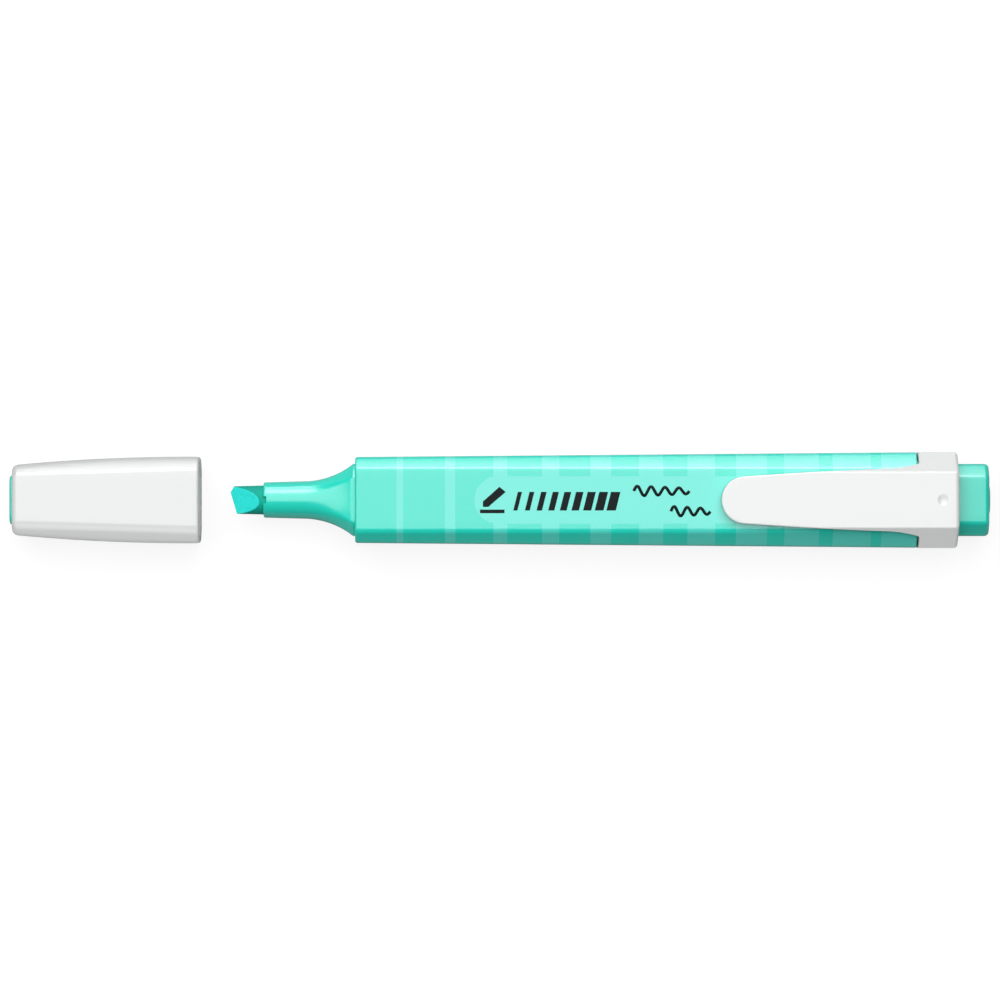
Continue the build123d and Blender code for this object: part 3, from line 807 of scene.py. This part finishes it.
opening = cap.modifiers.new("opening", "BOOLEAN")
opening.operation = "DIFFERENCE"
opening.solver = "EXACT"
opening.object = notch
settle(cap)
bpy.data.objects.remove(notch)
cap.data.materials.clear()
cap.data.materials.append(white_plastic("cap_white"))
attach(cap, "cap")
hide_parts("cap")

# ---------------------------------------------------------------------------------------------------
# The inner cap: a soft turquoise liner that seals the nib. Its cup stands on a stem, and its plate and
# boss are pressed into the cap's closed end, where the boss shows.
# ---------------------------------------------------------------------------------------------------
liner_low, liner_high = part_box("inner_cap")
liner_outer_radius = 3.706 * MM
liner_mouth_radius = 3.206 * MM
liner_floor_radius = 3.05 * MM
liner_seal_depth = 5.9 * MM
liner_depth = 13.45 * MM
liner_end_wall = 1.0 * MM
lip_chamfer = 0.15 * MM
stem_radius = 2.2 * MM
plate_thickness = 1.0 * MM
plate_gap = 0.1 * MM
liner_boss = (4.1 * MM, 2.7 * MM, 1.6 * MM)
liner_boss_radius = 0.35 * MM

liner_floor = liner_high.x - liner_depth
plate_outline = eight_sided(
    cap_bore_end[0] - 2 * plate_gap, cap_bore_end[1] - 2 * plate_gap, cap_bore_end[2], cap_bore_end[3]
)
liner_mould = bmesh.new()
skin_over(
    liner_mould,
    [
        ring(liner_floor, round_outline(liner_floor_radius)),
        ring(liner_high.x - liner_seal_depth, round_outline(liner_floor_radius)),
        ring(liner_high.x - lip_chamfer, round_outline(liner_mouth_radius)),
        ring(liner_high.x, round_outline(liner_mouth_radius + lip_chamfer)),
        ring(liner_high.x, round_outline(liner_outer_radius - lip_chamfer)),
        ring(liner_high.x - lip_chamfer, round_outline(liner_outer_radius)),
        ring(liner_floor - liner_end_wall, round_outline(liner_outer_radius)),
        ring(liner_floor - liner_end_wall, round_outline(stem_radius)),
        ring(cap_wall_start + plate_thickness, round_outline(stem_radius)),
        ring(cap_wall_start + plate_thickness, plate_outline),
        ring(cap_wall_start, plate_outline),
        ring(cap_wall_start, rounded_oblong(*liner_boss)),
    ]
    + [
        ring(
            liner_low.x + liner_boss_radius * (1 - along),
            rounded_oblong(*(size - liner_boss_radius * inwards for size in liner_boss)),
        )
        for along, inwards in quarter_turn()
    ],
)
liner = release(liner_mould, "sealing_liner")
liner.data.materials.append(turquoise_plastic("liner_turquoise"))
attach(liner, "cap")
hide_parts("inner_cap")

# ---------------------------------------------------------------------------------------------------
# The label: generic marks in black ink on the pale panel. A small chisel-nib sign, a row of slanted bars
# that grow wider, and two hand-drawn waves. The ink film stands just proud of the plastic.
# ---------------------------------------------------------------------------------------------------
ink_film = 0.03 * MM
print_z = barrel_high.z
bar_start = shoulder + 27.2 * MM
bar_count = 9
bar_pitch = 2.0 * MM
bar_first_width = 0.7 * MM
bar_widening = 0.11 * MM
bar_height = 3.1 * MM
bar_lean = 0.25
label_line_y = -0.2 * MM
stroke_width = 0.5 * MM
wave_rise = 0.85 * MM
wave_calming = 0.45
wave_points = 96
sign_centre = Vector((shoulder + 22.9 * MM, label_line_y, print_z))

black = Finish("black_ink", {"Specular IOR Level": 0.12})
mottle = black.grain(0.2 * MM, detail=3.0)
blacks = black.mix(mottle, (0.002, 0.006, 0.006, 1.0), (0.006, 0.012, 0.012, 1.0))
black.coat(blacks, mottle * 0.15 + 0.38, mottle, 0.004 * MM)


class Tree:
    """A Geometry Nodes tree being built, with named inputs for its sizes."""

    def __init__(self, name, inputs):
        self.group = bpy.data.node_groups.new(name, "GeometryNodeTree")
        self.group.interface.new_socket("Geometry", in_out="INPUT", socket_type="NodeSocketGeometry")
        self.group.interface.new_socket("Geometry", in_out="OUTPUT", socket_type="NodeSocketGeometry")
        self.identifiers = {}
        for label, kind in inputs.items():
            socket = self.group.interface.new_socket(label, in_out="INPUT", socket_type="NodeSocket" + kind)
            self.identifiers[label] = socket.identifier
        self.given = self.group.nodes.new("NodeGroupInput")

    def node(self, kind, settings, sockets, output=0):
        """Add a node: its type, its settings, the values or links of its sockets, and the output wanted."""
        made = self.group.nodes.new(kind)
        for name, value in settings.items():
            setattr(made, name, value)
        for socket, value in sockets.items():
            if isinstance(value, bpy.types.NodeSocket):
                self.group.links.new(value, made.inputs[socket])
            else:
                made.inputs[socket].default_value = value
        return made.outputs[output]

    def maths(self, operation, *terms):
        return self.node("ShaderNodeMath", {"operation": operation}, dict(enumerate(terms)))

    def finish(self, geometry):
        """End the tree: instances made real, moved to their place, and given their material."""
        place, material = self.given.outputs["Place"], self.given.outputs["Material"]
        real = self.node("GeometryNodeRealizeInstances", {}, {"Geometry": geometry})
        placed = self.node("GeometryNodeTransform", {}, {"Geometry": real, "Translation": place})
        inked = self.node("GeometryNodeSetMaterial", {}, {"Geometry": placed, "Material": material})
        self.group.links.new(inked, self.group.nodes.new("NodeGroupOutput").inputs[0])

    def grow(self, name, values):
        """Make a piece with this tree, its inputs set to these values."""
        piece = bpy.data.objects.new(name, bpy.data.meshes.new(name))
        modifier = piece.modifiers.new(self.group.name, "NODES")
        modifier.node_group = self.group
        for label, value in values.items():
            modifier[self.identifiers[label]] = value
        bpy.context.scene.collection.objects.link(piece)
        settle(piece)
        return piece


bars = Tree(
    "slanted_bars",
    {
        "Count": "Int", "Pitch": "Float", "First Width": "Float", "Widening": "Float", "Height": "Float",
        "Lean": "Float", "Film": "Float", "Place": "Vector", "Material": "Material",
    },
)
given = bars.given.outputs
pitch = bars.node("ShaderNodeCombineXYZ", {}, {0: given["Pitch"]})
spots = bars.node("GeometryNodeMeshLine", {}, {"Count": given["Count"], "Offset": pitch})
number = bars.node("GeometryNodeInputIndex", {}, {})
width = bars.maths("ADD", given["First Width"], bars.maths("MULTIPLY", number, given["Widening"]))
size = bars.node("ShaderNodeCombineXYZ", {}, {0: width, 1: given["Height"], 2: given["Film"]})
block = bars.node("GeometryNodeMeshCube", {}, {"Size": (1.0, 1.0, 1.0)})
rows = bars.node("GeometryNodeInstanceOnPoints", {}, {"Points": spots, "Instance": block, "Scale": size})
real_bars = bars.node("GeometryNodeRealizeInstances", {}, {"Geometry": rows})
across = bars.node("ShaderNodeSeparateXYZ", {}, {0: bars.node("GeometryNodeInputPosition", {}, {})}, "Y")
shift = bars.node("ShaderNodeCombineXYZ", {}, {0: bars.maths("MULTIPLY", across, given["Lean"])})
bars.finish(bars.node("GeometryNodeSetPosition", {}, {"Geometry": real_bars, "Offset": shift}))
bar_row = bars.grow(
    "label_bars",
    {
        "Count": bar_count, "Pitch": bar_pitch, "First Width": bar_first_width, "Widening": bar_widening,
        "Height": bar_height, "Lean": bar_lean, "Film": 2 * ink_film,
        "Place": (bar_start, label_line_y, print_z), "Material": black.material,
    },
)

wave = Tree(
    "drawn_wave",
    {
        "Length": "Float", "Rise": "Float", "Waves": "Float", "Width": "Float", "Film": "Float",
        "Place": "Vector", "Material": "Material",
    },
)
given = wave.given.outputs
line_end = wave.node("ShaderNodeCombineXYZ", {}, {0: given["Length"]})
line = wave.node("GeometryNodeCurvePrimitiveLine", {}, {"End": line_end})
fine_line = wave.node("GeometryNodeResampleCurve", {}, {"Curve": line, "Count": wave_points})
travelled = wave.node("GeometryNodeSplineParameter", {}, {}, "Factor")
turned = wave.maths("MULTIPLY", wave.maths("MULTIPLY", travelled, given["Waves"]), 2 * pi)
calming = wave.maths("SUBTRACT", 1.0, wave.maths("MULTIPLY", travelled, wave_calming))
rise = wave.maths("MULTIPLY", wave.maths("MULTIPLY", wave.maths("SINE", turned), given["Rise"]), calming)
sideways = wave.node("ShaderNodeCombineXYZ", {}, {1: rise})
waved = wave.node("GeometryNodeSetPosition", {}, {"Geometry": fine_line, "Offset": sideways})
stroke_sizes = {"Width": given["Width"], "Height": given["Film"]}
stroke = wave.node("GeometryNodeCurvePrimitiveQuadrilateral", {}, stroke_sizes)
drawn = {"Curve": waved, "Profile Curve": stroke, "Fill Caps": True}
wave.finish(wave.node("GeometryNodeCurveToMesh", {}, drawn))
waves = [
    wave.grow(
        name,
        {
            "Length": length, "Rise": wave_rise, "Waves": turns, "Width": stroke_width,
            "Film": 2 * ink_film, "Place": place, "Material": black.material,
        },
    )
    for name, length, turns, place in (
        ("label_wave_upper", 9.3 * MM, 4.0, (shoulder + 46.6 * MM, 1.5 * MM, print_z)),
        ("label_wave_lower", 6.6 * MM, 3.0, (shoulder + 52.8 * MM, -1.9 * MM, print_z)),
    )
]

sign_mould = bmesh.new()
for outline in (
    [(-2.0, -2.0), (2.1, -2.0), (2.1, -1.4), (-2.0, -1.4)],
    [(-1.5, -0.95), (-0.6, -0.95), (2.3, 1.55), (1.25, 2.4), (-1.5, -0.05)],
):
    film_down = Vector((0, 0, -ink_film))
    base = [sign_mould.verts.new(sign_centre + Vector((x, y, 0)) * MM + film_down) for x, y in outline]
    top = [sign_mould.verts.new(vert.co - 2 * film_down) for vert in base]
    sign_mould.faces.new(base)
    sign_mould.faces.new(top)
    for near in range(len(base)):
        far = (near + 1) % len(base)
        sign_mould.faces.new((base[near], base[far], top[far], top[near]))
sign = release(sign_mould, "label_sign")
sign.data.materials.append(black.material)
for mark in (bar_row, *waves, sign):
    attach(mark, "pen")

# ---------------------------------------------------------------------------------------------------
# The table and the studio: a white table under one broad soft box that leans to the far side, in a dim
# white room. The table is two sheets: one that only the camera sees, and one that only throws light back
# up at the pen. Two cards on the far side give only gloss: the bright line along every upper edge, and
# the sheen on the bevels. Two fill lamps lift the white pieces alone, as light soaking through would.
# ---------------------------------------------------------------------------------------------------
scene = bpy.context.scene
middle = Vector(((cad_low.x + cad_high.x) / 2, (cad_low.y + cad_high.y) / 2, 0))
table_half = 2.0
table_corners = [(x * table_half, y * table_half) for x, y in ((-1, -1), (1, -1), (1, 1), (-1, 1))]


def lay_table(name, height, paint, glow):
    """Lay a white sheet at this height. The glow lifts it towards paper white."""
    mesh = bpy.data.meshes.new(name)
    mesh.from_pydata([(x, y, height) for x, y in table_corners], [], [(0, 1, 2, 3)])
    sheet = bpy.data.objects.new(name, mesh)
    scene.collection.objects.link(sheet)
    white = (1.0, 1.0, 1.0, 1.0)
    finish = Finish(name, {"Specular IOR Level": 0.0, "Emission Color": white, "Emission Strength": glow})
    lacquer = finish.grain(0.4 * MM)
    shades = [(paint * share,) * 3 + (1.0,) for share in (0.99, 1.0)]
    finish.coat(finish.mix(lacquer, *shades), 0.9, lacquer, 0.002 * MM)
    mesh.materials.append(finish.material)
    sheet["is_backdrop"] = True
    return sheet


seen_table = lay_table("table_seen", cad_low.z - 0.03 * MM, paint=0.2, glow=0.88)
seen_table.visible_diffuse = False
seen_table.visible_glossy = False
lit_table = lay_table("table_bounce", cad_low.z - 0.02 * MM, paint=0.5, glow=0.0)
lit_table.visible_camera = False
lit_table.visible_shadow = False


def hang_lamp(name, lean_x, lean_y, distance, width, depth, radiance):
    """Hang a rectangular lamp that looks at the pen, leaning from straight overhead by these degrees."""
    lean_x, lean_y = radians(lean_x), radians(lean_y)
    light = bpy.data.lights.new(name, "AREA")
    light.shape = "RECTANGLE"
    light.size = width
    light.size_y = depth
    light.energy = radiance * pi * width * depth
    lamp = bpy.data.objects.new(name, light)
    away = Vector((tan(lean_x) * cos(lean_y), sin(lean_y), cos(lean_y))).normalized()
    lamp.location = middle + away * distance
    lamp.rotation_euler = away.to_track_quat("Z", "Y").to_euler()
    scene.collection.objects.link(lamp)
    return lamp


hang_lamp("soft_box", lean_x=-7, lean_y=23, distance=1.7, width=2.2, depth=1.95, radiance=3.0)
for name, lean, depth, radiance in (("gloss_card", 60, 0.8, 8.5), ("horizon_card", 85, 0.4, 6.5)):
    card = hang_lamp(name, lean_x=-3, lean_y=lean, distance=1.7, width=0.9, depth=depth, radiance=radiance)
    card.visible_diffuse = False
for name, lean, depth, radiance, pieces in (
    ("near_fill", -60, 1.3, 1.5, (cap, moulding)),
    ("far_fill", 76, 0.7, 2.4, (moulding,)),
):
    lit = bpy.data.collections.new(name)
    for piece in pieces:
        lit.objects.link(piece)
    fill = hang_lamp(name, lean_x=0, lean_y=lean, distance=1.5, width=2.0, depth=depth, radiance=radiance)
    fill.light_linking.receiver_collection = lit

world = bpy.data.worlds.new("studio")
scene.world = world
world.use_nodes = True
studio = world.node_tree
room = studio.nodes["Background"]
room.inputs["Color"].default_value = (0.97, 0.99, 1.0, 1.0)
room.inputs["Strength"].default_value = 0.08
backdrop = studio.nodes.new("ShaderNodeBackground")
which = studio.nodes.new("ShaderNodeMixShader")
studio.links.new(studio.nodes.new("ShaderNodeLightPath").outputs["Is Camera Ray"], which.inputs[0])
studio.links.new(room.outputs[0], which.inputs[1])
studio.links.new(backdrop.outputs[0], which.inputs[2])
studio.links.new(which.outputs[0], studio.nodes["World Output"].inputs["Surface"])

view_width = 168 * MM
view_height = 1.1
camera_data = bpy.data.cameras.new("camera")
camera_data.lens = camera_data.sensor_width * (view_height - axis_z) / view_width
camera_data.clip_start = 0.01
camera_data.clip_end = 20
camera = bpy.data.objects.new("camera", camera_data)
camera.location = middle + Vector((0, 0, view_height))
scene.collection.objects.link(camera)
scene.camera = camera
scene.view_settings.view_transform = "Standard"

bpy.context.view_layer.update()
shown_low, shown_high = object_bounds()
{"cad": [list(cad_low), list(cad_high)], "shown": [list(shown_low), list(shown_high)]}
